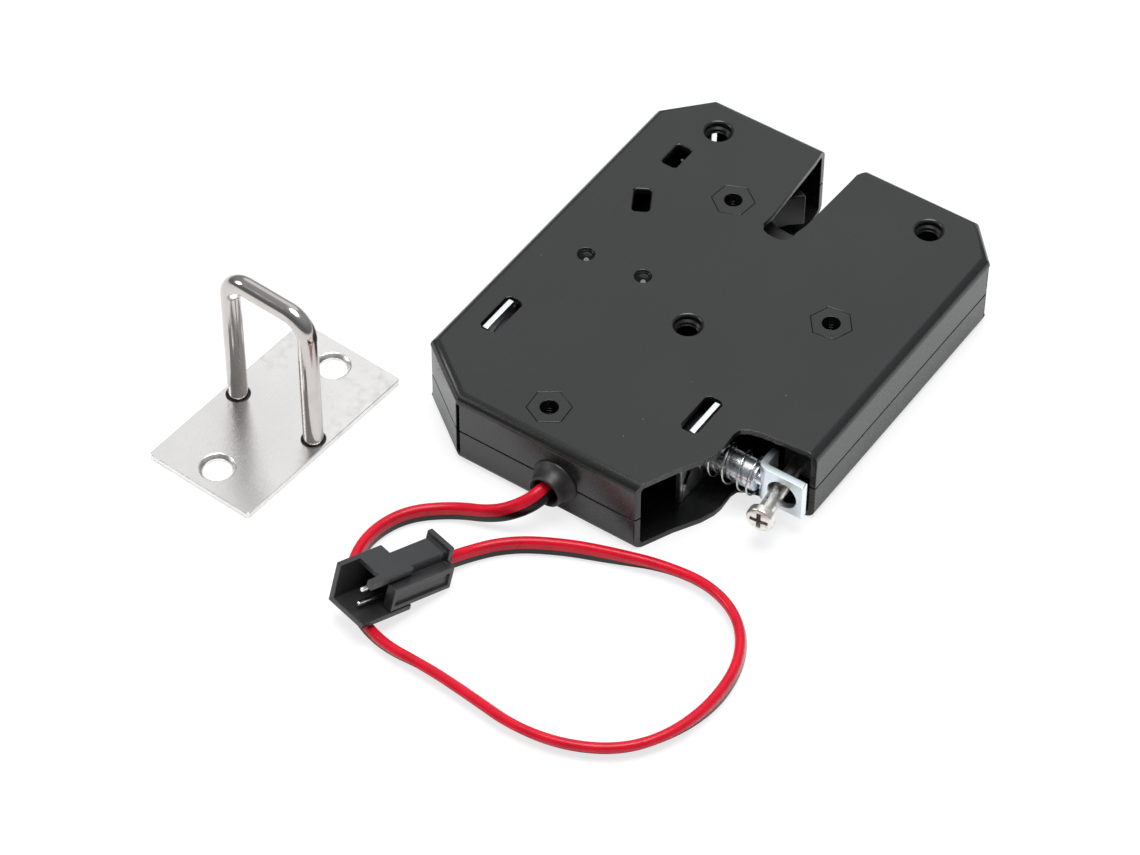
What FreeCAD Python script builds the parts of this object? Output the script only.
import FreeCAD, Part
import Sketcher
import math
import os

# Electromagnetic lock with its lead, connector and separate strike.
# Frame: origin at the middle of the case underside, X across the case, Y towards the
# mouth of the staple slot, Z up through the cover. Lengths are millimetres.

doc = FreeCAD.newDocument("electromagnetic_lock")

SIZES = {
    # case
    "case_width": 58.4, "case_length": 73.3, "case_thick": 13.4, "sheet": 1.0, "fold": 1.6,
    "seam_drop": 0.35, "seam_gap": 0.2, "relief": 0.8,
    "front_left_x": 6.3, "front_left_y": 6.95, "front_right_x": 5.5, "front_right_y": 6.05,
    "rear_left_x": 9.9, "rear_left_y": 7.35,
    # openings in the case
    "slot_x": 0.4, "slot_half": 2.55, "slot_mouth_half": 3.25, "slot_depth": 20.45,
    "tab_slot_half_w": 1.42, "tab_slot_half_l": 3.75, "window_inset_x": 8.4, "window_inset_y": 14.2,
    "window_w": 2.6, "window_l": 4.65, "second_inset_x": 9.35, "second_inset_y": 25.05,
    "dimple_r": 1.3, "dimple_depth": 0.4, "dimple_y": -2.0, "dimple_left": 8.95, "dimple_right": 18.35,
    "cut_width": 17.8, "cut_length": 19.75,
    # tapped mounting holes and case fasteners
    "tap_inset_x": 10.6, "tap_inset_y": 6.15, "tap_mid_y": -6.0, "tap_r": 1.65, "tap_boss_r": 2.6,
    "tap_boss_l": 2.4, "post_r": 2.5, "post_bore_r": 1.25, "hex_r": 3.28, "hex_clear": 0.04, "fit": 0.04,
    "screw_hole_r": 1.55, "screw_sink": 0.9, "screw_core_r": 1.2, "screw_short": 3.4,
    "rear_post_x": -7.25, "rear_post_inset": 5.9,
    # latch
    "latch_side": 9.05, "latch_inset": 17.3, "latch_under": 2.0, "latch_over": 3.4, "latch_reach": 12.5,
    "latch_hub_r": 4.4, "eye_r": 0.6, "eye_arm": 8.0, "eye_side": 0.3,
    # pawl lever
    "pawl_inset_x": 12.3, "pawl_share": 0.08322, "pawl_t": 2.0, "pawl_drop": 1.7, "pawl_claw_gap": 0.45,
    "pawl_unit": 10.0, "pawl_tab_gap": 7.65, "pawl_tab_t": 1.5, "pawl_tab_half": 3.0, "bush_r": 3.6,
    "bush_neck_r": 3.0, "end_gap": 0.3,
    # solenoid
    "coil_inset": 17.0, "coil_drop": 0.2, "yoke_gap": 0.35, "yoke_inset_left": 4.8,
    "yoke_inset_right": 16.8, "yoke_t": 0.9, "strap_gap": 0.45,
    "tab_half": 3.38, "tab_short": 0.2, "tab_slot_shift": 0.55, "plunger_hole_gap": 0.2,
    "bobbin_play": 0.15, "bobbin_wall_share": 1.29167, "bobbin_share": 0.38806, "bobbin_flange_t": 1.0,
    "winding_share": 0.90385, "tape_t": 0.25,
    "core_play": 0.05, "core_neck_share": 0.64, "core_stake": 0.3, "core_air": 4.9,
    # plunger, spring, bracket, screw
    "plunger_share": 0.16792, "plunger_start": 21.4, "bracket_inset": 7.7, "bracket_t": 1.2,
    "rivet_share": 0.445, "spring_play": 0.55, "plunger_wire": 0.35,
    "bracket_front_side": 1.15, "bracket_back_side": 3.05, "bracket_proud": 0.15, "bracket_under": 3.0,
    "bracket_over": 3.65, "bracket_bend": 1.5, "bracket_hole_inset": 3.3, "bracket_hole_r": 2.4,
    "bracket_corner": 0.3, "screw_inset": 4.1, "screw_drop": 0.2, "screw_back": 0.85, "screw_yaw": 6.0,
    "shank_r": 1.2, "head_r": 2.1, "head_t": 1.9, "head_reach": 6.9,
    # latch spring
    "second_turn": 29.0, "latch_coil_r": 1.2, "latch_wire": 0.45, "latch_coil_drop": 2.85,
    # grommet and lead
    "lead_x": -2.1, "lead_d": 3.0, "grommet_bore_r": 1.7, "grommet_neck_r": 2.5, "grommet_root_r": 3.7,
    "grommet_tip_r": 2.7, "grommet_out": 2.85, "grommet_lip_r": 3.3, "grommet_lip_t": 1.0,
    # connector
    "plug_length": 16.5, "plug_width": 6.0, "plug_height": 7.5, "plug_x": -15.4, "plug_away": 35.05,
    "plug_z": 3.75, "plug_yaw": 75.9, "plug_pitch": 16.0, "plug_wall": 0.9, "hood_length": 8.2,
    "plug_step": 1.3, "plug_low": 0.4, "plug_under": 0.9, "plug_high": 7.2,
    "pin_w": 0.64, "pin_pitch": 2.5, "pin_length": 12.0,
    # strike
    "strike_away_x": 16.35, "strike_away_y": 8.85, "strike_length": 34.0, "strike_width": 19.0,
    "strike_t": 1.0, "strike_turn": -3.7, "strike_corner": 0.5, "strike_hole_pitch": 25.65,
    "strike_hole_r": 2.1, "strike_sink": 0.6, "rod_r": 1.5, "staple_span": 14.5, "staple_top": 26.8,
    "staple_bend": 4.0, "rod_ring": 0.04,
}

# Places and sizes that follow from the ones above.
DERIVED = {
    "right": "{case_width} / 2", "front": "{case_length} / 2", "rear": "{case_length} / 2 * -1",
    "seam": "{case_thick} / 2 - {seam_drop}", "inner_top": "{case_thick} - {sheet}",
    "slot_end_y": "{front} - {slot_depth}", "tap_x": "{right} - {tap_inset_x}",
    "tap_y": "{front} - {tap_inset_y}", "rear_post_y": "{rear} + {rear_post_inset}",
    "window_x": "{window_inset_x} - {right}", "window_y": "{front} - {window_inset_y}",
    "second_x": "{second_inset_x} - {right}", "second_y": "{front} - {second_inset_y}",
    "latch_x": "{slot_x} - {latch_side}", "latch_y": "{front} - {latch_inset}",
    "latch_low": "{sheet} + {latch_under}", "latch_high": "{inner_top} - {latch_over}",
    "pawl_x": "{right} - {pawl_inset_x}", "pawl_y": "{case_length} * {pawl_share}",
    "pawl_low": "{case_thick} / 2 - {pawl_drop}", "pawl_high": "{pawl_low} + {pawl_t}",
    "coil_y": "{rear} + {coil_inset}", "coil_z": "{case_thick} / 2 - {coil_drop}",
    "bobbin_flange_r": "{case_thick} * {bobbin_share}", "coil_r": "{bobbin_flange_r} * {winding_share}",
    "plunger_r": "{case_thick} * {plunger_share}", "bobbin_bore_r": "{plunger_r} + {bobbin_play}",
    "bobbin_tube_r": "{bobbin_bore_r} * {bobbin_wall_share}", "core_r": "{bobbin_bore_r} - {core_play}",
    "core_neck_r": "{core_r} * {core_neck_share}", "rivet_r": "{plunger_r} * {rivet_share}",
    "plunger_coil_r": "{plunger_r} + {spring_play} + {plunger_wire} / 2",
    "yoke_side": "{bobbin_flange_r} + {yoke_t} + {strap_gap}",
    "yoke_half_h": "{case_thick} / 2 - {sheet} - {yoke_gap}", "yoke_left": "{yoke_inset_left} - {right}",
    "yoke_right": "{right} - {yoke_inset_right}", "yoke_front": "{coil_y} - {yoke_side}",
    "yoke_back": "{coil_y} + {yoke_side}", "plunger_in": "{yoke_left} + {plunger_start}",
    "core_end": "{plunger_in} - {core_air}", "bracket_x": "{right} - {bracket_inset}",
    "bracket_front": "{coil_y} - {bracket_front_side}", "bracket_back": "{coil_y} + {bracket_back_side}",
    "bracket_far": "{right} + {bracket_proud}", "bracket_low": "{coil_z} - {bracket_under}",
    "bracket_high": "{coil_z} + {bracket_over}", "bracket_hole_x": "{right} - {bracket_hole_inset}",
    "pawl_tab_y": "{coil_y} + {pawl_tab_gap}", "screw_x": "{right} - {screw_inset}",
    "screw_z": "{coil_z} - {screw_drop}", "screw_at_y": "{coil_y} - {screw_back}",
    "head_front": "{coil_y} - {head_reach}", "latch_coil_z": "{case_thick} - {latch_coil_drop}",
    "strike_x": "({right} + {strike_away_x}) * -1", "strike_y": "{rear} - {strike_away_y}",
    "screw_length": "{case_thick} - {sheet} * 2 - {screw_short}",
}

sheet = doc.addObject("Spreadsheet::Sheet", "Sizes")


def named(text):
    """Turn the {alias} marks of an expression into cells of the sheet."""
    return text.replace("{", "Sizes.").replace("}", "")


def value(text):
    """Number that an expression over the sheet has now, for shapes that are set in code."""
    while "{" in text:
        for alias, meaning in DERIVED.items():
            text = text.replace("{" + alias + "}", f"({meaning})")
        for alias, size in SIZES.items():
            text = text.replace("{" + alias + "}", f"({size})")
    return float(FreeCAD.Units.parseQuantity(text).Value)


for row, (alias, size) in enumerate(SIZES.items(), start=1):
    sheet.set(f"A{row}", alias)
    sheet.set(f"B{row}", str(size))
    sheet.setAlias(f"B{row}", alias)
for row, (alias, meaning) in enumerate(DERIVED.items(), start=len(SIZES) + 1):
    sheet.set(f"A{row}", alias)
    sheet.set(f"B{row}", "=" + meaning.replace("{", "").replace("}", ""))
    sheet.setAlias(f"B{row}", alias)
doc.recompute()


def bind(obj, prop, text):
    obj.setExpression(prop, named(text))


# Sketches and bodies
def new_body(label):
    body = doc.addObject("PartDesign::Body", label)
    body.Label = label
    return body


def new_sketch(body, name, offset="0", role="XY_Plane"):
    """Sketch on an origin plane of the body, moved along the plane normal."""
    sketch = body.newObject("Sketcher::SketchObject", name)
    plane = [item for item in body.Origin.OriginFeatures if item.Role == role][0]
    sketch.AttachmentSupport = [(plane, "")]
    sketch.MapMode = "FlatFace"
    bind(sketch, "AttachmentOffset.Base.z", f"({offset}) * 1")
    return sketch


def add_polygon(sketch, points):
    """Closed polygon whose corners are tied to expressions in x and y."""
    spots = [FreeCAD.Vector(value(x), value(y), 0) for x, y in points]
    first = sketch.GeometryCount
    count = len(points)
    for i in range(count):
        sketch.addGeometry(Part.LineSegment(spots[i], spots[(i + 1) % count]), False)
    for i in range(count):
        sketch.addConstraint(Sketcher.Constraint("Coincident", first + i, 2, first + (i + 1) % count, 1))
    for i, (x, y) in enumerate(points):
        for kind, text, now in (("DistanceX", x, spots[i].x), ("DistanceY", y, spots[i].y)):
            index = sketch.addConstraint(Sketcher.Constraint(kind, -1, 1, first + i, 1, now))
            bind(sketch, f"Constraints[{index}]", f"({text}) * 1")


def add_circle(sketch, x, y, radius):
    index = sketch.addGeometry(
        Part.Circle(FreeCAD.Vector(value(x), value(y), 0), FreeCAD.Vector(0, 0, 1), value(radius)), False)
    for kind, text, now in (("DistanceX", x, value(x)), ("DistanceY", y, value(y))):
        number = sketch.addConstraint(Sketcher.Constraint(kind, -1, 1, index, 3, now))
        bind(sketch, f"Constraints[{number}]", f"({text}) * 1")
    number = sketch.addConstraint(Sketcher.Constraint("Radius", index, value(radius)))
    bind(sketch, f"Constraints[{number}]", f"({radius}) * 1")


def add_pad(body, sketch, length, downwards=False):
    pad = body.newObject("PartDesign::Pad", sketch.Name + "_pad")
    pad.Profile = sketch
    pad.Reversed = downwards
    bind(pad, "Length", f"({length}) * 1")
    doc.recompute()
    return pad


def add_pocket(body, sketch, length, upwards=False, both=False):
    """Pocket that must take material away."""
    before = body.Shape.Volume
    pocket = body.newObject("PartDesign::Pocket", sketch.Name + "_cut")
    pocket.Profile = sketch
    pocket.Reversed = upwards
    pocket.Midplane = both
    bind(pocket, "Length", f"({length}) * 1")
    doc.recompute()
    if not body.Shape.Volume < before - 1e-6:
        raise RuntimeError(sketch.Name + " cuts nothing")
    return pocket


def dress(body, kind, name, pick, prop, size):
    """Fillet or chamfer on picked faces or edges of the body as it stands."""
    tip = body.Tip
    names = pick(tip.Shape)
    feature = body.newObject(kind, name)
    feature.Base = (tip, names)
    bind(feature, prop, f"({size}) * 1")
    doc.recompute()
    return feature


def plane_faces(shape, height):
    return [f"Face{i}" for i, face in enumerate(shape.Faces, start=1)
            if face.BoundBox.ZLength < 1e-6 and abs(face.BoundBox.ZMin - height) < 1e-5]


def rims(shape, height, radius):
    """Names of the round edges of one radius that lie at one height."""
    return [f"Edge{i}" for i, edge in enumerate(shape.Edges, start=1)
            if edge.BoundBox.ZLength < 1e-6 and abs(edge.BoundBox.ZMin - height) < 1e-5
            and isinstance(edge.Curve, Part.Circle) and abs(edge.Curve.Radius - radius) < 1e-6]


# Primitives
AXES = {"x": FreeCAD.Rotation(FreeCAD.Vector(0, 1, 0), 90), "y": FreeCAD.Rotation(FreeCAD.Vector(1, 0, 0), -90),
        "z": FreeCAD.Rotation()}


def place(obj, x, y, z, rotation=None):
    obj.Placement = FreeCAD.Placement(FreeCAD.Vector(), rotation or FreeCAD.Rotation())
    for axis, text in zip("xyz", (x, y, z)):
        bind(obj, f"Placement.Base.{axis}", f"({text}) * 1")
    return obj


def rod(name, radius, length, x, y, z, along="z", tip_radius=None):
    """Cylinder, or a cone where a tip radius is given, standing on x, y, z."""
    obj = doc.addObject("Part::Cylinder" if tip_radius is None else "Part::Cone", name)
    if tip_radius is None:
        bind(obj, "Radius", f"({radius}) * 1")
    else:
        bind(obj, "Radius1", f"({radius}) * 1")
        bind(obj, "Radius2", f"({tip_radius}) * 1")
    bind(obj, "Height", f"({length}) * 1")
    return place(obj, x, y, z, AXES[along])


def box(name, dx, dy, dz, x, y, z):
    obj = doc.addObject("Part::Box", name)
    for prop, text in (("Length", dx), ("Width", dy), ("Height", dz)):
        bind(obj, prop, f"({text}) * 1")
    return place(obj, x, y, z)


def fuse(name, items):
    obj = doc.addObject("Part::MultiFuse", name)
    obj.Shapes = items
    doc.recompute()
    return obj


def cut(name, base, tool):
    doc.recompute()
    before = base.Shape.Volume
    obj = doc.addObject("Part::Cut", name)
    obj.Base, obj.Tool = base, tool
    doc.recompute()
    if not obj.Shape.Volume < before - 1e-6:
        raise RuntimeError(name + " cuts nothing")
    return obj


def code_shape(label, shape, placement=None):
    """Node whose shape is set in code from the sheet."""
    obj = doc.addObject("Part::Feature", label)
    obj.Shape = shape
    obj.Placement = placement or FreeCAD.Placement()
    return obj


nodes = []


def finish(obj, label):
    obj.Label = label
    nodes.append(obj)
    return obj


# Case trays
CORNERS = [
    ("{front_left_x} - {right}", "{front}"), ("{right} * -1", "{front} - {front_left_y}"),
    ("{right} * -1", "{rear} + {rear_left_y}"), ("{rear_left_x} - {right}", "{rear}"), ("{right}", "{rear}"),
    ("{right}", "{front} - {front_right_y}"), ("{right} - {front_right_x}", "{front}")]
RELIEF_CORNERS = {0: (0.38, -0.92), 1: (0.92, -0.38), 2: (0.88, 0.47), 3: (0.47, 0.88),
                  5: (-0.92, -0.38), 6: (-0.38, -0.92)}
# Slot outline: side of the middle, half width it is measured from, offset from that, place along the depth.
SLOT = [
    (-1, "mouth", 0.5, "{front} + {sheet}"), (-1, "mouth", 0.45, "{front} - 0.6"),
    (-1, "mouth", 0.05, "{slot_end_y} + {slot_depth} * 0.822"), (-1, "half", -0.1, "{slot_end_y} + {slot_depth} * 0.186"),
    (-1, "half", 0.05, "{slot_end_y} + {slot_half} * 0.55"), (-1, "half", -0.56, "{slot_end_y} + {slot_half} * 0.2"),
    (-1, "half", -1.48, "{slot_end_y} + {slot_half} * 0.04"), (1, "half", -2.55, "{slot_end_y}"),
    (1, "half", -1.4, "{slot_end_y} + {slot_half} * 0.04"), (1, "half", -0.56, "{slot_end_y} + {slot_half} * 0.24"),
    (1, "half", -0.2, "{slot_end_y} + {slot_half} * 0.6"), (1, "half", -0.2, "{slot_end_y} + {slot_depth} * 0.137"),
    (1, "half", 0.2, "{slot_end_y} + {slot_depth} * 0.235"), (1, "mouth", -0.1, "{slot_end_y} + {slot_depth} * 0.773"),
    (1, "mouth", -0.05, "{slot_end_y} + {slot_depth} * 0.89"), (1, "mouth", 0.6, "{front} - 0.9"),
    (1, "mouth", 0.9, "{front} + {sheet}")]
HALVES = {"mouth": ("{slot_mouth_half}", 3.25), "half": ("{slot_half}", 2.55)}
SLOT_POINTS = [(f"{{slot_x}} + {HALVES[key][0]} * {side * (HALVES[key][1] + add) / HALVES[key][1]:.4f}", y)
               for side, key, add, y in SLOT]
# Cut-away corner: shares of its width and length, from its inner end at the rear wall.
CUT_SHARES = [(0, 0), (0.157, 0.306), (0.281, 0.499), (0.326, 0.61), (0.337, 0.686), (0.326, 0.833),
              (0.343, 0.894), (0.41, 0.934), (0.506, 0.954), (0.854, 0.985)]
CUT_X = "{right} - {cut_width} * "
CUTAWAY = ([("{right} - {cut_width}", "{rear} - {sheet}")]
           + [(CUT_X + f"{1 - a:.4f}", f"{{rear}} + {{cut_length}} * {b}") for a, b in CUT_SHARES]
           + [("{right} + {sheet}", "{rear} + {cut_length}"), ("{right} + {sheet}", "{rear} - {sheet}")])


def tab_slot(x):
    """Oblong with cut corners over one yoke plate."""
    w, h, c = "{tab_slot_half_w}", "{tab_slot_half_l}", "{tab_slot_half_w} * 0.42"
    steps = ((-1, 1, 0, -1), (-1, 1, 1, 0), (1, 1, -1, 0), (1, 1, 0, -1),
             (1, -1, 0, 1), (1, -1, -1, 0), (-1, -1, 1, 0), (-1, -1, 0, 1))
    return [(f"({x}) + {w} * {sx} + {c} * {cx}", f"{{coil_y}} + {h} * {sy} + {c} * {cy}")
            for sx, sy, cx, cy in steps]


def relief(index, direction):
    """Narrow notch that parts two neighbouring flanges at a corner."""
    (x, y), (dx, dy) = CORNERS[index], direction
    out = []
    for reach, side in ((-0.6, -0.5), (1.6, -0.5), (1.6, 0.5), (-0.6, 0.5)):
        out.append((f"{x} + {dx} * {{sheet}} * {reach} - {dy} * {{relief}} * {side}",
                    f"{y} + {dy} * {{sheet}} * {reach} + {dx} * {{relief}} * {side}"))
    return out


POSTS = {"latch": ("{latch_x}", "{latch_y}", 23.7), "pawl": ("{pawl_x}", "{pawl_y}", 8.0),
         "rear": ("{rear_post_x}", "{rear_post_y}", 34.7)}
YOKE_TAB_X = ("{yoke_left} + {yoke_t} / 2 + {tab_slot_shift}", "{yoke_right} - {yoke_t} / 2 - {tab_slot_shift}")


def tray(label, upper):
    """One folded shell of the case, open towards the seam."""
    body = new_body(label)
    face_z = "{case_thick}" if upper else "0"
    depth = "{case_thick} - {seam} - {seam_gap} / 2" if upper else "{seam} - {seam_gap} / 2"
    outline = new_sketch(body, label + "_outline", face_z)
    add_polygon(outline, CORNERS)
    add_pad(body, outline, depth, downwards=upper)
    flat = value(face_z)
    rim = value("{case_thick} - (" + depth + ")") if upper else value(depth)
    dress(body, "PartDesign::Fillet", label + "_fold", lambda shape: plane_faces(shape, flat), "Radius", "{fold}")
    shell = dress(body, "PartDesign::Thickness", label + "_shell", lambda shape: plane_faces(shape, rim),
                  "Value", "{sheet}")
    shell.Reversed, shell.Mode, shell.Join = True, "Skin", "Arc"
    doc.recompute()
    taps = (("{tap_x} * -1", "{tap_y}"), ("{tap_x}", "{tap_y}"), ("0", "{tap_mid_y}"))
    if upper:
        bosses = new_sketch(body, "tap_bosses", face_z)
        for x, y in taps:
            add_circle(bosses, x, y, "{tap_boss_r}")
        add_pad(body, bosses, "{tap_boss_l}", downwards=True)

    through = new_sketch(body, label + "_openings", face_z)
    add_polygon(through, SLOT_POINTS)
    add_polygon(through, CUTAWAY)
    add_pocket(body, through, "{case_thick}", upwards=not upper)
    holes = new_sketch(body, label + "_holes", face_z)
    for x in YOKE_TAB_X:
        add_polygon(holes, tab_slot(x))
    if upper:
        for x, y in taps:
            add_circle(holes, x, y, "{tap_r}")
        w, h = "{window_w} / 2", "{window_l} / 2"
        add_polygon(holes, [(f"{{window_x}} + {w} * {sx}", f"{{window_y}} + {h} * {sy}")
                            for sx, sy in ((-1, -1), (1, -1), (1, 1), (-1, 1))])
        c, s = math.cos(math.radians(SIZES["second_turn"])), math.sin(math.radians(SIZES["second_turn"]))
        add_polygon(holes, [(f"{{second_x}} + {w} * {sx * c:.5f} + {h} * {sy * -s:.5f}",
                             f"{{second_y}} + {w} * {sx * s:.5f} + {h} * {sy * c:.5f}")
                            for sx, sy in ((-1, -1), (1, -1), (1, 1), (-1, 1))])
        for x, y, angle in POSTS.values():
            add_polygon(holes, [(f"{x} + ({{hex_r}} + {{hex_clear}}) * {math.cos(math.radians(angle + 60 * i))}",
                                 f"{y} + ({{hex_r}} + {{hex_clear}}) * {math.sin(math.radians(angle + 60 * i))}")
                                for i in range(6)])
    else:
        for x, y, _ in POSTS.values():
            add_circle(holes, x, y, "{screw_hole_r}")
    add_pocket(body, holes, "{sheet} + {tap_boss_l}" if upper else "{sheet}", upwards=not upper)
    if upper:
        marks = new_sketch(body, "dimples", face_z)
        add_circle(marks, "{dimple_left} - {right}", "{dimple_y} - 0.5", "{dimple_r}")
        add_circle(marks, "{dimple_right} - {right}", "{dimple_y} + 0.5", "{dimple_r}")
        add_pocket(body, marks, "{dimple_depth}")
    notches = new_sketch(body, label + "_reliefs", "{seam}")
    for index, direction in RELIEF_CORNERS.items():
        add_polygon(notches, relief(index, direction))
    add_pocket(body, notches, f"{'{case_thick} - {seam}' if upper else '{seam}'} - {{fold}}", upwards=upper)
    gate = new_sketch(body, label + "_lead_notch", "{front}", role="XZ_Plane")
    add_circle(gate, "{lead_x}", "{seam}", "{grommet_neck_r} + {fit}")
    add_pocket(body, gate, "{sheet} * 4", both=True)
    if not upper:
        dress(body, "PartDesign::Chamfer", "screw_sinks",
              lambda shape: rims(shape, 0, value("{screw_hole_r}")), "Size", "{screw_sink}")
    return finish(body, label)


tray("cover", True)
tray("base", False)

# Posts and case screws
for key, (x, y, angle) in POSTS.items():
    head = doc.addObject("Part::Prism", key + "_post_hex")
    head.Polygon = 6
    bind(head, "Circumradius", "{hex_r}")
    bind(head, "Height", "{sheet}")
    place(head, x, y, "{case_thick} - {sheet}", FreeCAD.Rotation(FreeCAD.Vector(0, 0, 1), angle))
    shank = rod(key + "_post_shank", "{post_r}", "{case_thick} - {sheet} * 2", x, y, "{sheet}")
    bore = rod(key + "_post_bore", "{post_bore_r}", "{case_thick}", x, y, "0")
    post = cut(key + "_post", fuse(key + "_post_solid", [head, shank]), bore)
    finish(post, "standoff_" + key)

screw_bits = []
for key, (x, y, _) in POSTS.items():
    cone = rod(key + "_screw_cone", "{screw_hole_r} + {screw_sink} - {fit} * 1.5", "{screw_sink}", x, y, "0",
               tip_radius="{screw_hole_r} - {fit} * 1.5")
    core = rod(key + "_screw_core", "{screw_core_r}", "{screw_length}", x, y, "{screw_sink} / 2")
    screw_bits.append(fuse(key + "_screw", [cone, core]))
screws = doc.addObject("Part::Compound", "case_screws")
screws.Links = screw_bits
finish(screws, "case_screws")


# Latch hook and pawl lever
def about(x, y, unit, drawn, points):
    """Points drawn in millimetres for one drawn unit, as shares of the unit's size."""
    return [(f"{x} + {unit} * {dx / drawn:.5f}", f"{y} + {unit} * {dy / drawn:.5f}") for dx, dy in points]


def polar(x, y, radius, degrees):
    c, s = math.cos(math.radians(degrees)), math.sin(math.radians(degrees))
    return (f"{x} + ({radius}) * {c:.5f}", f"{y} + ({radius}) * {s:.5f}")


def latch():
    """Hook with an outer jaw, a jaw that the staple pushes, a hub and a spring eye."""
    place_of = ("{latch_x}", "{latch_y}", "{latch_reach}", 12.5)
    x, y, reach, _ = place_of
    points = [polar(x, y, reach, a) for a in (1, 8, 14)]
    points += about(*place_of, [(8.6, 2.75), (6.2, 2.9), (4.6, 3.5), (3.5, 4.6), (3.0, 5.7), (3.0, 6.9),
                                (4.3, 9.0)])
    points += [polar(x, y, reach, a) for a in (60, 65, 71)]
    points += about(*place_of, [
        (2.2, 11.5), (1.2, 10.4), (0.6, 9.8), (-0.3, 9.7), (-1.5, 9.3), (-2.1, 8.4), (-3.2, 6.6), (-5.0, 4.2),
        (-6.2, 2.0), (-6.5, -0.3), (-6.0, -2.5), (-4.6, -4.6), (-2.4, -6.1), (0.0, -6.5), (2.6, -6.0),
        (4.8, -4.6), (7.4, -2.8), (10.2, -1.2)])
    body = new_body("latch_hook")
    outline = new_sketch(body, "latch_outline", "{latch_low}")
    add_polygon(outline, points)
    add_pad(body, outline, "{latch_high} - {latch_low}")
    hub = new_sketch(body, "latch_hub", "{sheet} + {end_gap}")
    add_circle(hub, x, y, "{latch_hub_r}")
    add_pad(body, hub, "{case_thick} - {sheet} * 2 - {end_gap} * 2")
    bore = new_sketch(body, "latch_bore")
    add_circle(bore, x, y, "{post_r} + {fit}")
    add_circle(bore, f"{x} - {{eye_side}}", f"{y} + {{eye_arm}}", "{eye_r}")
    add_pocket(body, bore, "{case_thick}", upwards=True)
    return finish(body, "latch_hook")


def pawl():
    """Bent lever with a claw by the slot and a cross tab that holds the screw."""
    by_latch = ("{latch_x}", "{latch_y}", "{pawl_unit}", 10)
    by_hub = ("{pawl_x}", "{pawl_y}", "{pawl_unit}", 10)
    drop = "({pawl_y} - {pawl_tab_y})"

    def down(dx, share):
        return (f"{{pawl_x}} + {{pawl_unit}} * {dx / 10:.5f}", f"{{pawl_y}} - {drop} * {share}")

    reach = "{latch_reach} + {pawl_claw_gap}"
    points = [polar("{latch_x}", "{latch_y}", reach, a) for a in (15.5, 19, 22.5)]
    points += about(*by_latch, [(12.35, 7.15), (14.25, 8.65), (16.75, 8.35), (18.95, 6.15), (21.95, 1.35)])
    points += about(*by_hub, [(0.2, 9.2), (3.6, 5.2), (5.0, 2.2), (5.3, -1.0)])
    points += [down(6.9, 0.331), down(9.6, 0.63), down(10.6, 0.807), down(10.6, 1.041), down(5.9, 1.041),
               down(5.7, 0.751), down(3.4, 0.508)]
    points += about(*by_hub, [(0.6, -5.4), (-2.6, -4.9), (-4.8, -2.8), (-5.5, 0.0), (-5.0, 3.0)])
    points += about(*by_latch, [(18.15, -5.05), (16.15, -1.25), (15.55, 2.65)])
    body = new_body("pawl_blank")
    outline = new_sketch(body, "pawl_outline", "{pawl_low}")
    add_polygon(outline, points)
    add_pad(body, outline, "{pawl_high} - {pawl_low}")
    tab = new_sketch(body, "pawl_tab", "{screw_z} - {pawl_tab_half}")
    low, high = "{pawl_x} + {pawl_unit} * 0.48", "{pawl_x} + {pawl_unit} * 1.09"
    front = "{pawl_tab_y} - {pawl_tab_t}"
    add_polygon(tab, [(low, front), (high, front), (high, "{pawl_tab_y}"), (low, "{pawl_tab_y}")])
    add_pad(body, tab, "{pawl_tab_half} * 2")
    bore = new_sketch(body, "pawl_bore")
    add_circle(bore, "{pawl_x}", "{pawl_y}", "{bush_neck_r}")
    add_pocket(body, bore, "{case_thick}", upwards=True)
    return body


latch()
pawl_blank = pawl()

low, high = "{sheet} + {end_gap}", "{case_thick} - {sheet} - {end_gap}"
bush_bits = [
    rod("bush_lower", "{bush_r}", "{pawl_low} - (" + low + ")", "{pawl_x}", "{pawl_y}", low),
    rod("bush_neck", "{bush_neck_r}", "{pawl_high} - {pawl_low}", "{pawl_x}", "{pawl_y}", "{pawl_low}"),
    rod("bush_upper", "{bush_r}", high + " - {pawl_high}", "{pawl_x}", "{pawl_y}", "{pawl_high}")]
bush_bore = rod("bush_bore", "{post_r} + {fit}", "{case_thick}", "{pawl_x}", "{pawl_y}", "0")
finish(cut("bush", fuse("bush_solid", bush_bits), bush_bore), "pawl_bush")

# Solenoid
plate_h = "{yoke_half_h} * 2"
plate_z = "{coil_z} - {yoke_half_h}"
tab_z, tab_h = "{tab_short}", "{case_thick} - {tab_short} * 2"


def yoke_plate(name, x):
    """End plate with a tab above and below that enters the case."""
    plate = box(name + "_plate", "{yoke_t}", "{yoke_back} - {yoke_front}", plate_h, x, "{yoke_front}", plate_z)
    tab = box(name + "_tab", "{yoke_t}", "{tab_half} * 2", tab_h, x, "{coil_y} - {tab_half}", tab_z)
    return [plate, tab]


strap = box("yoke_strap", "{yoke_right} - {yoke_left} - {yoke_t}", "{yoke_t}", plate_h,
            "{yoke_left}", "{yoke_back} - {yoke_t}", plate_z)
left = fuse("yoke_bent", yoke_plate("left", "{yoke_left}") + [strap])
core_hole = rod("core_hole", "{core_neck_r} + {fit} / 2", "{yoke_t} * 3", "{yoke_left} - {yoke_t}", "{coil_y}",
                "{coil_z}", "x")
finish(cut("yoke", left, core_hole), "solenoid_yoke")

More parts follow.
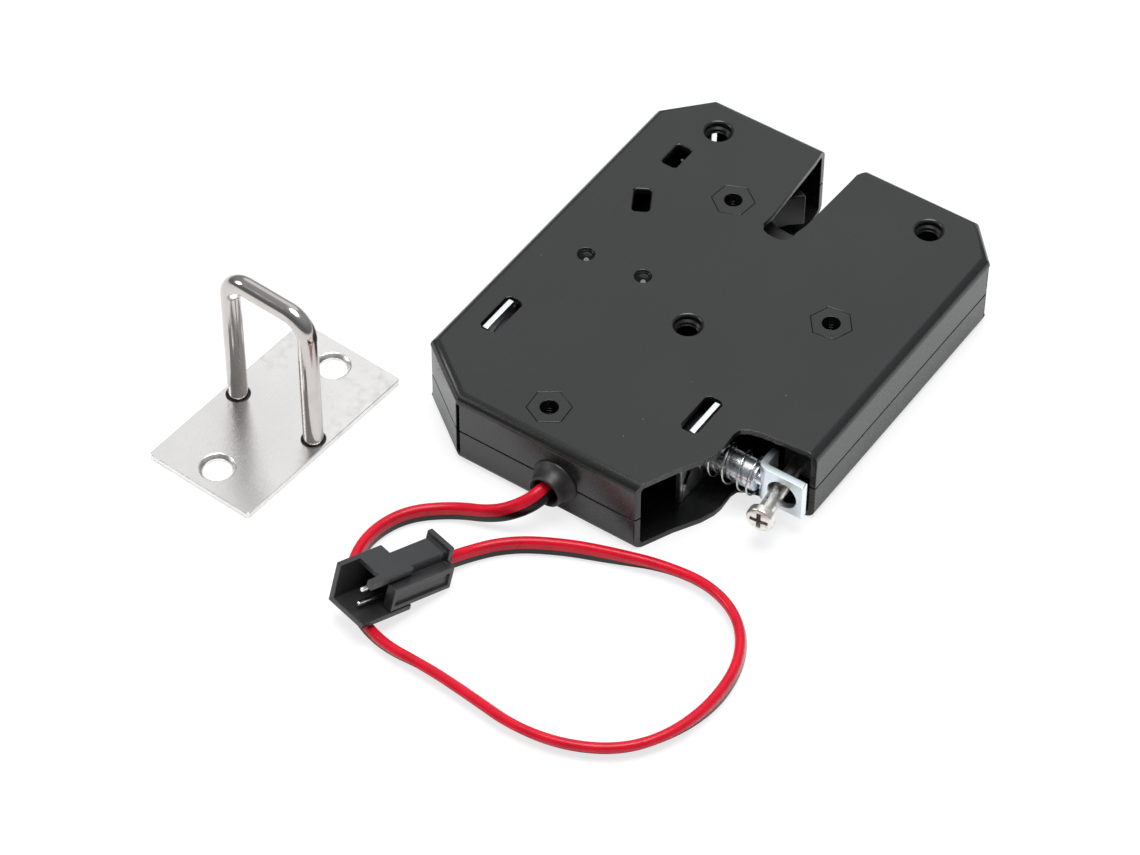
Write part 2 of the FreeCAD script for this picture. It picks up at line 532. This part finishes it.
lug = box("end_lug", "{yoke_t} / 2", "{yoke_t}", "{yoke_t} * 2", "{yoke_right}", "{yoke_front} + 0.1", plate_z + " + 1.35")
right = fuse("end_solid", yoke_plate("right", "{yoke_right} - {yoke_t}") + [lug])
plunger_hole = rod("plunger_hole", "{bobbin_bore_r} + {plunger_hole_gap}", "{yoke_t} * 3", "{yoke_right} - {yoke_t} * 2",
                   "{coil_y}", "{coil_z}", "x")
finish(cut("end", right, plunger_hole), "yoke_end_plate")

inner_l = "{yoke_left} + {yoke_t} + {fit}"
inner_w = "{yoke_right} - {yoke_left} - {yoke_t} * 2 - {fit} * 2"


def coil_rod(name, radius, length, x):
    return rod(name, radius, length, x, "{coil_y}", "{coil_z}", "x")


spool = fuse("spool", [
    coil_rod("spool_tube", "{bobbin_tube_r}", inner_w, inner_l),
    coil_rod("spool_left", "{bobbin_flange_r}", "{bobbin_flange_t}", inner_l),
    coil_rod("spool_right", "{bobbin_flange_r}", "{bobbin_flange_t}",
             "{yoke_right} - {yoke_t} - {fit} - {bobbin_flange_t}")])
finish(cut("bobbin", spool, coil_rod("spool_bore", "{bobbin_bore_r}", inner_w + " + 2", inner_l + " - 1")), "bobbin")
wound_l = inner_l + " + {bobbin_flange_t} + {fit}"
wound_w = inner_w + " - {bobbin_flange_t} * 2 - {fit} * 2"
finish(cut("winding", coil_rod("winding_out", "{coil_r} - {tape_t} - {fit}", wound_w, wound_l),
           coil_rod("winding_in", "{bobbin_tube_r} + {fit}", wound_w + " + 2", wound_l + " - 1")), "coil_winding")
finish(cut("tape", coil_rod("tape_out", "{coil_r}", wound_w, wound_l),
           coil_rod("tape_in", "{coil_r} - {tape_t}", wound_w + " + 2", wound_l + " - 1")), "coil_tape")
core = fuse("core", [
    coil_rod("core_body", "{core_r}", "{core_end} - (" + inner_l + ")", inner_l),
    coil_rod("core_neck", "{core_neck_r}", "{yoke_t} + {fit} + {core_stake}", "{yoke_left} - {core_stake}")])
finish(core, "fixed_core")

# Plunger group
moving = fuse("plunger_solid", [
    coil_rod("plunger_body", "{plunger_r}", "{bracket_x} - {plunger_in}", "{plunger_in}"),
    coil_rod("plunger_neck", "{rivet_r}", "{bracket_t}", "{bracket_x}")])
finish(moving, "plunger")

bracket = new_body("plunger_bracket")
angle_sketch = new_sketch(bracket, "bracket_outline", "{bracket_low}")
bx, by, bt, bend = "{bracket_x}", "{bracket_front}", "{bracket_t}", "{bracket_bend}"
arc = [(f"{bx} + {bend} * {1 - math.cos(math.radians(a)):.5f}", f"{by} + {bend} * {1 - math.sin(math.radians(a)):.5f}")
       for a in (0, 22.5, 45, 67.5, 90)]
add_polygon(angle_sketch, arc + [("{bracket_far}", by), ("{bracket_far}", f"{by} + {bt}"),
                                 (f"{bx} + {bt} + 0.3", f"{by} + {bt}"), (f"{bx} + {bt}", f"{by} + {bt} + 0.3"),
                                 (f"{bx} + {bt}", "{bracket_back}"), (bx, "{bracket_back}")])
add_pad(bracket, angle_sketch, "{bracket_high} - {bracket_low}")
rivet_sketch = new_sketch(bracket, "bracket_rivet_hole", bx, role="YZ_Plane")
add_circle(rivet_sketch, "{coil_y}", "{coil_z}", "{rivet_r}")
add_pocket(bracket, rivet_sketch, "{bracket_t}", upwards=True)
screw_sketch = new_sketch(bracket, "bracket_screw_hole", f"{by} * -1", role="XZ_Plane")
add_circle(screw_sketch, "{bracket_hole_x}", "{coil_z}", "{bracket_hole_r}")
add_pocket(bracket, screw_sketch, "{bracket_t} * 3", both=True)
dress(bracket, "PartDesign::Fillet", "bracket_corners",
      lambda shape: [f"Edge{i}" for i, edge in enumerate(shape.Edges, start=1)
                     if edge.BoundBox.XMin > value("{bracket_far}") - 1e-5 and edge.BoundBox.YLength > 0.5],
      "Radius", "{bracket_corner}")
finish(bracket, "plunger_bracket")

yaw = math.radians(SIZES["screw_yaw"])
lean = FreeCAD.Vector(math.sin(yaw), -math.cos(yaw), 0)
screw_at = FreeCAD.Vector(value("{screw_x}"), value("{screw_at_y}"), value("{screw_z}"))
screw_back = screw_at + lean * ((value("{pawl_tab_y}") - screw_at.y - 0.6) / lean.y)
screw_front = screw_at + lean * ((value("{head_front}") - screw_at.y) / lean.y)
head_start = screw_front - lean * value("{head_t}")
screw_shape = Part.makeCylinder(value("{shank_r}"), (head_start - screw_back).Length + 0.2, screw_back, lean)
screw_head = Part.makeCylinder(value("{head_r}"), value("{head_t}"), head_start, lean)
front_edges = [edge for edge in screw_head.Edges
               if edge.BoundBox.Center.distanceToPoint(screw_front) < 0.05 and edge.Closed]
screw_head = screw_head.makeFillet(0.8, front_edges)
screw_shape = screw_shape.fuse(screw_head).removeSplitter()
finish(code_shape("release_screw", screw_shape), "release_screw")
screw_seat = doc.addObject("Part::Feature", "screw_seat")
screw_seat.Shape = Part.makeCylinder(value("{shank_r}"), 6, screw_back + lean * -2, lean)
finish(cut("pawl_drilled", pawl_blank, screw_seat), "pawl_lever")


# Springs
def wire_along(points, wire):
    """Round wire swept through points."""
    marks = [0.0]
    for a, b in zip(points, points[1:]):
        marks.append(marks[-1] + (b - a).Length)
    curve = Part.BSplineCurve()
    curve.interpolate(Points=points, Parameters=marks)
    path = Part.Wire([curve.toShape()])
    start = curve.value(curve.FirstParameter)
    tangent = curve.tangent(curve.FirstParameter)[0]
    ring = Part.Wire([Part.makeCircle(wire / 2, start, tangent)])
    return path.makePipeShell([ring], True, True)


coil_mid = FreeCAD.Vector(0, value("{coil_y}"), value("{coil_z}"))
turns = [0.0, 1.0, 2.0, 3.0, 4.0, 4.8]
spots = [value("{yoke_right} + {plunger_wire} / 2 + 0.05")]
free = value("{bracket_x} - {plunger_wire} - 0.1 - {yoke_right}")
spots += [spots[0] + free * part for part in (0.09, 0.34, 0.64, 0.92, 1.0)]
helix = []
steps = 12
for i in range(int(turns[-1] * steps) + 1):
    turn = i / steps
    k = max(j for j in range(len(turns) - 1) if turns[j] <= turn)
    x = spots[k] + (spots[k + 1] - spots[k]) * (turn - turns[k]) / (turns[k + 1] - turns[k])
    angle = 2 * math.pi * turn
    helix.append(coil_mid + FreeCAD.Vector(x, value("{plunger_coil_r}") * math.cos(angle),
                                           value("{plunger_coil_r}") * math.sin(angle)))
finish(code_shape("plunger_spring", wire_along(helix, value("{plunger_wire}"))), "plunger_spring")

eye = FreeCAD.Vector(value("{latch_x} - {eye_side}"), value("{latch_y} + {eye_arm}"), 0)
window = FreeCAD.Vector(value("{window_x} + {window_w} / 2 - {latch_wire} / 2 - 0.05"), value("{window_y}"), 0)
pull = (eye - window).normalize()
side = FreeCAD.Vector(-pull.y, pull.x, 0)
span = (eye - window).Length
height = FreeCAD.Vector(0, 0, value("{latch_coil_z}"))
coil_r, wire = value("{latch_coil_r}"), value("{latch_wire}")
first, pitch, loops = 3.4, wire * 1.16, 11
path = [window + FreeCAD.Vector(0, 0, value("{case_thick}") - 0.35),
        window + FreeCAD.Vector(0, 0, value("{case_thick}") - 1.3) + pull * 0.1,
        window + height + pull * 1.2 + FreeCAD.Vector(0, 0, 0.2),
        window + height + pull * 2.4 + side * coil_r * 0.75 + FreeCAD.Vector(0, 0, -0.2)]
for i in range(loops * 8 + 1):
    angle = 2 * math.pi * i / 8
    path.append(window + height + pull * (first + pitch * i / 8) + side * coil_r * math.cos(angle)
                + FreeCAD.Vector(0, 0, -coil_r * math.sin(angle)))
path += [window + height + pull * (first + pitch * loops + 0.9) + side * coil_r * 0.6,
         window + height + pull * (span - 0.7) + FreeCAD.Vector(0, 0, -0.1),
         eye + FreeCAD.Vector(0, 0, value("{latch_high}") - 0.2),
         eye + FreeCAD.Vector(0, 0, value("{latch_high}") - 3.0)]
finish(code_shape("latch_spring", wire_along(path, wire)), "latch_spring")

# Grommet and lead
wall_y = "{rear}"


def lead_rod(name, radius, length, y, tip=None):
    return rod(name, radius, length, "{lead_x}", y, "{seam}", "y", tip)


grommet_solid = fuse("grommet_solid", [
    lead_rod("grommet_cone", "{grommet_tip_r}", "{grommet_out}", wall_y + " - {grommet_out}", "{grommet_root_r}"),
    lead_rod("grommet_neck", "{grommet_neck_r}", "{sheet} + {grommet_lip_t} / 2", wall_y),
    lead_rod("grommet_lip", "{grommet_lip_r}", "{grommet_lip_t}", wall_y + " + {sheet} + {fit}")])
finish(cut("grommet", grommet_solid, lead_rod("grommet_bore", "{grommet_bore_r}", "12", wall_y + " - 6")), "grommet")

# Corners of the lead from the middle of its hole in the rear wall.
LEAD_ROUTE = [
    (0.0, -0.35, 0.00), (0.0, -4.55, -0.15), (-4.9, -7.75, -3.75), (-11.3, -9.35, -4.80),
    (-16.5, -13.95, -4.83), (-18.3, -20.35, -4.83), (-16.8, -26.75, -4.83), (-12.3, -32.25, -4.83),
    (-5.3, -35.25, -4.83), (2.7, -34.95, -4.83), (10.9, -35.75, -4.83), (18.7, -36.75, -4.83),
    (26.5, -35.35, -4.83), (33.3, -31.35, -4.83), (37.3, -24.75, -4.83), (38.9, -16.95, -4.83),
    (37.7, -9.15, -4.83), (33.5, -3.15, -4.83), (26.9, -0.25, -4.83), (19.5, -0.85, -4.83),
    (12.7, -3.35, -4.83), (5.5, -6.15, -4.83), (-1.1, -10.15, -4.81)]


def rounded_route(points):
    """Straight runs joined by arcs that meet them at a tangent; returns wire and radii."""
    spots = [FreeCAD.Vector(*p) for p in points]
    edges, radii, start = [], [], spots[0]
    for before, corner, after in zip(spots, spots[1:], spots[2:]):
        into, out = (corner - before), (after - corner)
        shorter = min(into.Length, out.Length)
        into.normalize()
        out.normalize()
        turn = into.getAngle(out)
        radius = 0.45 * shorter / math.tan(turn / 2)
        trim = 0.45 * shorter
        a, b = corner - into * trim, corner + out * trim
        bisector = (out - into).normalize()
        middle = corner + bisector * (radius / math.cos(turn / 2) - radius)
        edges += [Part.makeLine(start, a), Part.Arc(a, middle, b).toShape()]
        radii.append(round(radius, 2))
        start = b
    edges.append(Part.makeLine(start, spots[-1]))
    return Part.Wire(edges), radii


# Connector
tilt = FreeCAD.Rotation(FreeCAD.Vector(0, 0, 1), SIZES["plug_yaw"]).multiply(
    FreeCAD.Rotation(FreeCAD.Vector(0, 1, 0), SIZES["plug_pitch"]))
plug_place = FreeCAD.Placement(FreeCAD.Vector(value("{plug_x}"), value("{rear} - {plug_away}"), value("{plug_z}")), tilt)
PL, PW, PH, wall = (value("{" + key + "}") for key in ("plug_length", "plug_width", "plug_height", "plug_wall"))
hood = value("{hood_length}")


def block(x0, x1, y0, y1, z0, z1):
    return Part.makeBox(x1 - x0, y1 - y0, z1 - z0, FreeCAD.Vector(x0, y0, z0))


step, low, under, high = (value("{" + key + "}") for key in ("plug_step", "plug_low", "plug_under", "plug_high"))
body_left, body_right, strip_left, strip_right = -PW * 0.1, -PW * 0.72, -PW * 0.62, -PW * 0.8
housing = block(0, hood, step - wall, step, low, high).fuse([
    block(0, hood + wall, -PW, step, low, low + wall),
    block(hood - wall, hood, body_left, step, low, high),
    block(hood * 0.44, hood, strip_right, step, high - wall, high),
    block(hood * 0.17, hood + wall, strip_right, strip_left, high - wall * 1.4, high),
    block(hood - wall, PL, body_right, body_left, under, high),
    block(PL - wall, PL, -PW * 0.82, 0, under, PH + wall / 2),
    block(hood * 0.62, PL - wall / 4, -PW, body_right, under + wall * 0.7, under + high * 0.64)])
housing = housing.cut(block(hood * 0.7, PL - wall, -PW - 1, -PW + wall * 0.4, under + wall * 1.6, under + high * 0.49))
rear_holes = [Part.makeCylinder(0.85, 9, FreeCAD.Vector(PL - 8, -PW / 2, PH / 2 - 0.2 + s * 1.25), FreeCAD.Vector(1, 0, 0))
              for s in (-1, 1)]
pin_w, pin_pitch, pin_l = (value("{" + key + "}") for key in ("pin_w", "pin_pitch", "pin_length"))
pins = [block(1.4, 1.4 + pin_l, -PW / 2 - pin_w / 2, -PW / 2 + pin_w / 2,
              PH / 2 - 0.2 + s * pin_pitch / 2 - pin_w / 2, PH / 2 - 0.2 + s * pin_pitch / 2 + pin_w / 2)
        for s in (-1, 1)]
housing = housing.cut(Part.makeCompound(pins)).cut(Part.makeCompound(rear_holes)).removeSplitter()
finish(code_shape("connector_housing", housing, plug_place), "connector_housing")
finish(code_shape("contact_pins", Part.makeCompound(pins), plug_place), "contact_pins")

rear = plug_place.multVec(FreeCAD.Vector(PL, -PW / 2, PH / 2 - 0.2))
axis = tilt.multVec(FreeCAD.Vector(1, 0, 0))
settle = (rear.z - value("{lead_d} / 2") - 0.06) / -axis.z
gate = FreeCAD.Vector(value("{lead_x}"), value(wall_y), value("{seam}"))
route = [tuple(gate + FreeCAD.Vector(*p)) for p in LEAD_ROUTE] + [tuple(rear + axis * settle), tuple(rear + axis * 0.02)]
lead_wire, lead_radii = rounded_route(route)
lead_r = value("{lead_d}") / 2
direction = FreeCAD.Vector(*route[1]) - FreeCAD.Vector(*route[0])
section = Part.Wire([Part.makeCircle(lead_r, FreeCAD.Vector(*route[0]), direction)])
lead_shape = lead_wire.makePipeShell([section], True, False)
print("lead meets the connector at", rear, "along", axis)
print("lead radii", lead_radii)
print("lead length", round(lead_wire.Length, 2), "volume", round(lead_shape.Volume, 2),
      "section x length", round(math.pi * lead_r ** 2 * lead_wire.Length, 2))
finish(code_shape("lead", lead_shape), "lead")

# Strike
strike_place = FreeCAD.Placement(FreeCAD.Vector(value("{strike_x}"), value("{strike_y}"), 0),
                                 FreeCAD.Rotation(FreeCAD.Vector(0, 0, 1), SIZES["strike_turn"]))
plate = new_body("strike_plate")
plate_sketch = new_sketch(plate, "strike_outline", "0")
w, h, c = "{strike_width} / 2", "{strike_length} / 2", "{strike_corner}"
add_polygon(plate_sketch, [
    (f"{w} * {sx} + {c} * {cx:.4f} * {-sx}", f"{h} * {sy} + {c} * {cy:.4f} * {-sy}")
    for sx, sy, order in ((1, 1, 1), (-1, 1, -1), (-1, -1, 1), (1, -1, -1))
    for cx, cy in [(1 - math.cos(math.radians(a)), 1 - math.sin(math.radians(a))) for a in (0, 30, 60, 90)][::order]])
add_pad(plate, plate_sketch, "{strike_t}")
strike_holes = new_sketch(plate, "strike_holes", "0")
for s in (-1, 1):
    add_circle(strike_holes, "0", f"{{strike_hole_pitch}} / 2 * {s}", "{strike_hole_r}")
    add_circle(strike_holes, f"{{staple_span}} / 2 * {s}", "0", "{rod_r} + {rod_ring}")
add_pocket(plate, strike_holes, "{strike_t}", upwards=True)
dress(plate, "PartDesign::Chamfer", "strike_sinks",
      lambda shape: rims(shape, value("{strike_t}"), value("{strike_hole_r}")), "Size", "{strike_sink}")
plate.Placement = strike_place
doc.recompute()
finish(plate, "strike_plate")

half, top, turn_r, rr = (value(t) for t in ("{staple_span} / 2", "{staple_top} - {rod_r}", "{staple_bend}", "{rod_r}"))
V = FreeCAD.Vector
k = turn_r * (1 - math.sqrt(0.5))
bow = Part.Wire([
    Part.makeLine(V(-half, 0, 0), V(-half, 0, top - turn_r)),
    Part.Arc(V(-half, 0, top - turn_r), V(-half + k, 0, top - k), V(-half + turn_r, 0, top)).toShape(),
    Part.makeLine(V(-half + turn_r, 0, top), V(half - turn_r, 0, top)),
    Part.Arc(V(half - turn_r, 0, top), V(half - k, 0, top - k), V(half, 0, top - turn_r)).toShape(),
    Part.makeLine(V(half, 0, top - turn_r), V(half, 0, 0))])
staple = bow.makePipeShell([Part.Wire([Part.makeCircle(rr, V(-half, 0, 0), V(0, 0, 1))])], True, False)
finish(code_shape("strike_staple", staple, strike_place), "strike_staple")

# Checks and export
doc.recompute()
for obj in doc.Objects:
    if "Invalid" in obj.State or "Error" in obj.State:
        raise RuntimeError(f"{obj.Name}: {obj.State}")
os.makedirs("parts", exist_ok=True)
for obj in nodes:
    shape = obj.Shape
    if shape.isNull() or not shape.isValid() or shape.Volume <= 0:
        raise RuntimeError(obj.Label + " has no valid solid")
    shape.exportStep(os.path.join("parts", obj.Label + ".step"))
    size = shape.BoundBox
    print(f"{obj.Label:20s} solids {len(shape.Solids)} volume {shape.Volume:9.2f} "
          f"x {size.XMin:7.2f} {size.XMax:7.2f} y {size.YMin:7.2f} {size.YMax:7.2f} z {size.ZMin:6.2f} {size.ZMax:6.2f}")
print(len(nodes), "nodes")
